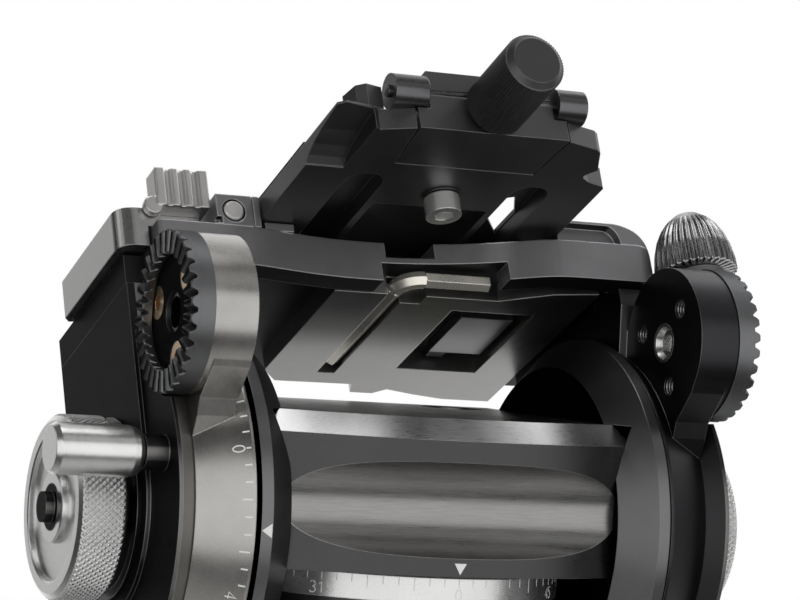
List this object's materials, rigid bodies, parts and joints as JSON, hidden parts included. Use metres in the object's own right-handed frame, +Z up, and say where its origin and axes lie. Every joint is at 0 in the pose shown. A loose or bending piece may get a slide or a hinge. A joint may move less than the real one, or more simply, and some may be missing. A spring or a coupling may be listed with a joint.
{
  "type": "fluid_video_head",
  "caption": "Fluid video head with a round pan base, side drums, handle rosettes, side dials and a tilted quick-release platform with a sliding camera plate",
  "frame": {"origin": "centre of the tripod thread at the base face", "axes": "+Z up along the pan axis, X along the tilt axis, the lens side towards -Y"},
  "size_m": [0.2054, 0.1496, 0.2043],
  "materials": {
    "body_black": "black anodised, satin",
    "cast_dark": "dark anodised, fine bead-blasted grain",
    "gunmetal": "turned gunmetal, satin",
    "plate_grey": "dark warm grey anodised",
    "ring_metal": "black turned ring with pale marks",
    "silver": "satin silver",
    "nickel": "nickel plated",
    "steel": "plain steel",
    "brass": "brass and bronze",
    "grip_grey": "light grey anodised, satin",
    "knob_black": "black knurled",
    "rubber": "black rubber",
    "vial": "yellow-green level vial"
  },
  "bodies": {
    "base": {"base_plate": "body_black", "base_housing": "body_black", "tripod_insert": "steel", "base_screws": "steel", "pan_spindle": "steel", "spindle_nut": "steel", "pan_thrust_washer": "brass", "pan_drag_stator": "gunmetal", "pan_scale_ring": "ring_metal"},
    "drag_ring": {"pan_drag_ring": "knob_black"},
    "pan_lock": {"pan_lock_knob": "knob_black"},
    "pan_body": {"body_housing": "body_black", "pan_hub": "gunmetal", "pan_bush": "brass", "pan_drag_rotor": "gunmetal", "left_side_disc": "body_black", "right_side_disc": "body_black", "tilt_shaft": "steel", "rear_cover": "body_black", "rear_cover_screws": "steel", "level_cup": "gunmetal", "level_vial": "vial"},
    "platform": {"left_tilt_arm": "gunmetal", "right_tilt_arm": "gunmetal", "tilt_bushes": "brass", "tilt_drag_rotor": "gunmetal", "balance_spring": "steel", "left_side_cover": "body_black", "right_side_cover": "body_black", "right_end_cap": "body_black", "dial_rims": "silver", "left_rosette": "knob_black", "right_rosette": "knob_black", "rosette_screws": "brass", "rosette_inserts": "steel", "platform_deck": "cast_dark", "key_panel": "cast_dark", "guide_plate": "gunmetal", "deck_screws": "steel", "left_jaw_block": "cast_dark", "right_rail": "cast_dark", "lever_base": "body_black"},
    "jaw": {"clamp_jaw": "gunmetal"},
    "button": {"release_button": "silver"},
    "lever": {"release_lever": "grip_grey", "lever_grip": "grip_grey"},
    "clamp_knob": {"plate_clamp_knob": "grip_grey"},
    "key": {"hex_key": "nickel"},
    "drag_dial": {"tilt_drag_dial": "silver"},
    "spring_dial": {"balance_dial": "silver"},
    "tilt_lock": {"tilt_lock_knob": "silver"},
    "plate": {"camera_plate": "plate_grey", "grip_pads": "rubber", "hinge_barrels": "gunmetal", "hinge_pin": "steel", "screw_collar": "knob_black"},
    "screw": {"camera_screw": "silver"},
    "stop": {"folding_stop": "plate_grey"},
    "stop_screw": {"stop_knob": "knob_black"}
  },
  "joints": [
    {"name": "pan_turn", "type": "hinge", "parent": "base", "child": "pan_body", "pos_m": [0, 0, 0.0668], "axis": [0, 0, 1], "continuous": true},
    {"name": "pan_drag_turn", "type": "hinge", "parent": "base", "child": "drag_ring", "pos_m": [0, 0, 0.006], "axis": [0, 0, 1], "range_deg": [-60, 60]},
    {"name": "pan_lock_turn", "type": "hinge", "parent": "base", "child": "pan_lock", "pos_m": [0, 0.05, 0.0184], "axis": [0, 1, 0], "range_deg": [0, 180]},
    {"name": "tilt_turn", "type": "hinge", "parent": "pan_body", "child": "platform", "pos_m": [0, 0, 0.0772], "axis": [1, 0, 0], "range_deg": [-60, 78]},
    {"name": "drag_dial_turn", "type": "hinge", "parent": "platform", "child": "drag_dial", "pos_m": [-0.089, 0, 0.0772], "axis": [1, 0, 0], "range_deg": [-150, 150]},
    {"name": "spring_dial_turn", "type": "hinge", "parent": "platform", "child": "spring_dial", "pos_m": [0.089, 0, 0.0772], "axis": [1, 0, 0], "range_deg": [-150, 150]},
    {"name": "tilt_lock_turn", "type": "hinge", "parent": "platform", "child": "tilt_lock", "pos_m": [-0.09, -0.0335, 0.09427], "axis": [1, 0, 0], "range_deg": [0, 180]},
    {"name": "lever_turn", "type": "hinge", "parent": "platform", "child": "lever", "pos_m": [-0.0757, 0.03884, 0.12699], "axis": [0, 0.454, 0.891], "range_deg": [-60, 0]},
    {"name": "jaw_slide", "type": "slide", "parent": "platform", "child": "jaw", "axis": [1, 0, 0], "range_m": [-0.0016, 0]},
    {"name": "button_press", "type": "slide", "parent": "platform", "child": "button", "axis": [0, 0.891, -0.454], "range_m": [0, 0.003], "stiffness_N_per_m": 300},
    {"name": "clamp_knob_turn", "type": "hinge", "parent": "platform", "child": "clamp_knob", "pos_m": [0.0832, -0.00799, 0.15535], "axis": [0, 0.454, 0.891], "continuous": true},
    {"name": "key_draw", "type": "slide", "parent": "platform", "child": "key", "axis": [0, -0.891, 0.454], "range_m": [0, 0.04]},
    {"name": "plate_slide", "type": "slide", "parent": "platform", "child": "plate", "axis": [0, -0.891, 0.454], "range_m": [-0.025, 0.035]},
    {"name": "camera_screw_turn", "type": "hinge", "parent": "plate", "child": "screw", "pos_m": [0, -0.01911, 0.16415], "axis": [0, 0.454, 0.891], "continuous": true},
    {"name": "stop_fold", "type": "hinge", "parent": "plate", "child": "stop", "pos_m": [0, -0.04374, 0.18849], "axis": [1, 0, 0], "range_deg": [-90, 0]},
    {"name": "stop_knob_turn", "type": "hinge", "parent": "stop", "child": "stop_screw", "pos_m": [0, -0.05478, 0.18996], "axis": [0, -0.891, 0.454], "continuous": true}
  ],
  "couplings": [
    {"joint": "jaw_slide", "follows": "lever_turn", "m_per_rad": 0.0014324}
  ]
}
